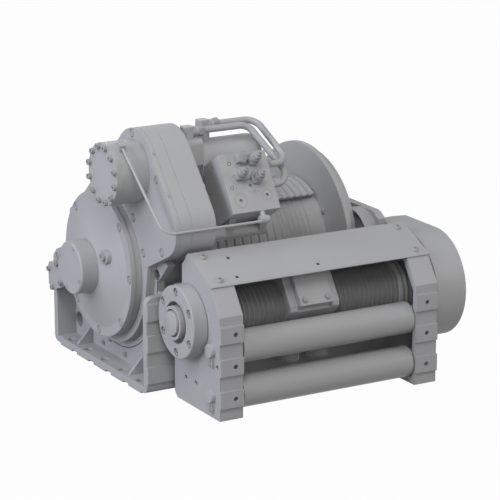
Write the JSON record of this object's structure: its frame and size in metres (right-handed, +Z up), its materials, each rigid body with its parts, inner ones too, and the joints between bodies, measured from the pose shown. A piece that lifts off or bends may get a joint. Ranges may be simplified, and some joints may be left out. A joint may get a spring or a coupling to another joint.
{
  "type": "hydraulic rope winch",
  "caption": "Hydraulic rope winch: grooved drum in end frames, planetary and transfer gearing, motor, brake, valve block and a rope spooling device.",
  "frame": {"origin": "centre of the rectangle of the four corner foot bolts, on the mounting floor", "axes": "+X along the drum away from the gearbox, -Y towards the rope outlet and rollers, +Z up"},
  "size_m": [0.745, 0.6905, 0.5674],
  "materials": {
    "grey_paint": "matte",
    "grey_casting": "matte",
    "grey_steel": "satin",
    "grey_screws": "satin",
    "grey_bellows": "matte"
  },
  "bodies": {
    "frame_body": {"brake_cap": "grey_paint", "brake_housing": "grey_paint", "brake_tube": "grey_paint", "cap_screws": "grey_screws", "cartridge_valves": "grey_screws", "centre_cap": "grey_casting", "chain_cover": "grey_paint", "drive_chain": "grey_steel", "drum_bearings": "grey_steel", "gear_guard": "grey_paint", "gearbox_cover": "grey_casting", "gearbox_ring": "grey_casting", "guide_rod": "grey_steel", "keeper_plates": "grey_screws", "left_bellows": "grey_bellows", "left_cheek": "grey_casting", "left_end_frame": "grey_casting", "lower_tie_plate": "grey_paint", "m12_bolts": "grey_screws", "motor_body": "grey_paint", "port_block": "grey_paint", "right_bellows": "grey_bellows", "right_cheek": "grey_casting", "right_end_frame": "grey_casting", "ring_gear": "grey_steel", "roller_axles": "grey_steel", "side_plate": "grey_paint", "spindle_housing": "grey_casting", "tie_bars": "grey_steel", "top_cover": "grey_paint", "top_cover_screws": "grey_screws", "transfer_cover": "grey_casting", "transfer_middle": "grey_casting", "transfer_rear": "grey_casting", "tube_fittings": "grey_screws", "tube_lower": "grey_paint", "tube_upper": "grey_paint", "valve_block": "grey_paint", "valve_bracket": "grey_paint", "valve_plugs": "grey_screws"},
    "drum_body": {"drum": "grey_casting", "drum_shaft": "grey_steel", "drum_gear": "grey_steel", "planet_carrier": "grey_steel"},
    "planet_body_1": {"planet_gear_1": "grey_steel"},
    "planet_body_2": {"planet_gear_2": "grey_steel"},
    "planet_body_3": {"planet_gear_3": "grey_steel"},
    "sun_body": {"sun_shaft": "grey_steel"},
    "idler_body": {"idler_gear": "grey_steel"},
    "pinion_body": {"pinion_shaft": "grey_steel"},
    "intermediate_body": {"intermediate_gear": "grey_steel"},
    "spindle_body": {"reversing_spindle": "grey_steel"},
    "upper_roller_body": {"upper_roller": "grey_steel"},
    "lower_roller_body": {"lower_roller": "grey_steel"},
    "carriage_body": {"carriage": "grey_casting", "carriage_cover": "grey_casting", "carriage_screws": "grey_screws"},
    "guide_left_body": {"guide_roller_left": "grey_steel"},
    "guide_right_body": {"guide_roller_right": "grey_steel"},
    "press_body": {"rope_press_plate": "grey_paint"}
  },
  "joints": [
    {"name": "drum_turn", "type": "hinge", "parent": "frame_body", "child": "drum_body", "pos_m": [0, 0, 0.241], "axis": [1, 0, 0], "continuous": true},
    {"name": "planet_turn_1", "type": "hinge", "parent": "drum_body", "child": "planet_body_1", "pos_m": [-0.11, 0, 0.289], "axis": [1, 0, 0], "continuous": true},
    {"name": "planet_turn_2", "type": "hinge", "parent": "drum_body", "child": "planet_body_2", "pos_m": [-0.11, -0.04157, 0.217], "axis": [1, 0, 0], "continuous": true},
    {"name": "planet_turn_3", "type": "hinge", "parent": "drum_body", "child": "planet_body_3", "pos_m": [-0.11, 0.04157, 0.217], "axis": [1, 0, 0], "continuous": true},
    {"name": "sun_turn", "type": "hinge", "parent": "frame_body", "child": "sun_body", "pos_m": [-0.23, 0, 0.241], "axis": [1, 0, 0], "continuous": true},
    {"name": "idler_turn", "type": "hinge", "parent": "frame_body", "child": "idler_body", "pos_m": [-0.23, -0.0832, 0.38925], "axis": [1, 0, 0], "continuous": true},
    {"name": "motor_turn", "type": "hinge", "parent": "frame_body", "child": "pinion_body", "pos_m": [-0.23, -0.13213, 0.47646], "axis": [1, 0, 0], "continuous": true},
    {"name": "intermediate_turn", "type": "hinge", "parent": "frame_body", "child": "intermediate_body", "pos_m": [0.272, -0.17072, 0.26196], "axis": [1, 0, 0], "continuous": true},
    {"name": "spindle_turn", "type": "hinge", "parent": "frame_body", "child": "spindle_body", "pos_m": [0, -0.321, 0.188], "axis": [1, 0, 0], "continuous": true},
    {"name": "upper_roller_turn", "type": "hinge", "parent": "frame_body", "child": "upper_roller_body", "pos_m": [0, -0.415, 0.1466], "axis": [1, 0, 0], "continuous": true},
    {"name": "lower_roller_turn", "type": "hinge", "parent": "frame_body", "child": "lower_roller_body", "pos_m": [0, -0.415, 0.0476], "axis": [1, 0, 0], "continuous": true},
    {"name": "carriage_travel", "type": "slide", "parent": "frame_body", "child": "carriage_body", "axis": [1, 0, 0], "range_m": [-0.08, 0.095], "deforming": ["left_bellows", "right_bellows"]},
    {"name": "guide_left_turn", "type": "hinge", "parent": "carriage_body", "child": "guide_left_body", "pos_m": [-0.01775, -0.348, 0.1], "axis": [0, 0, 1], "continuous": true},
    {"name": "guide_right_turn", "type": "hinge", "parent": "carriage_body", "child": "guide_right_body", "pos_m": [0.05475, -0.348, 0.1], "axis": [0, 0, 1], "continuous": true},
    {"name": "press_lift", "type": "hinge", "parent": "frame_body", "child": "press_body", "pos_m": [0, 0.222, 0.3], "axis": [-1, 0, 0], "range_deg": [0, 14]}
  ],
  "couplings": [
    {"joint": "planet_turn_1", "follows": "drum_turn", "ratio": -3},
    {"joint": "planet_turn_2", "follows": "drum_turn", "ratio": -3},
    {"joint": "planet_turn_3", "follows": "drum_turn", "ratio": -3},
    {"joint": "sun_turn", "follows": "drum_turn", "ratio": 4},
    {"joint": "idler_turn", "follows": "drum_turn", "ratio": -7.3333},
    {"joint": "motor_turn", "follows": "drum_turn", "ratio": 11},
    {"joint": "intermediate_turn", "follows": "drum_turn", "ratio": -2.0714},
    {"joint": "spindle_turn", "follows": "drum_turn", "ratio": -1.0357}
  ]
}
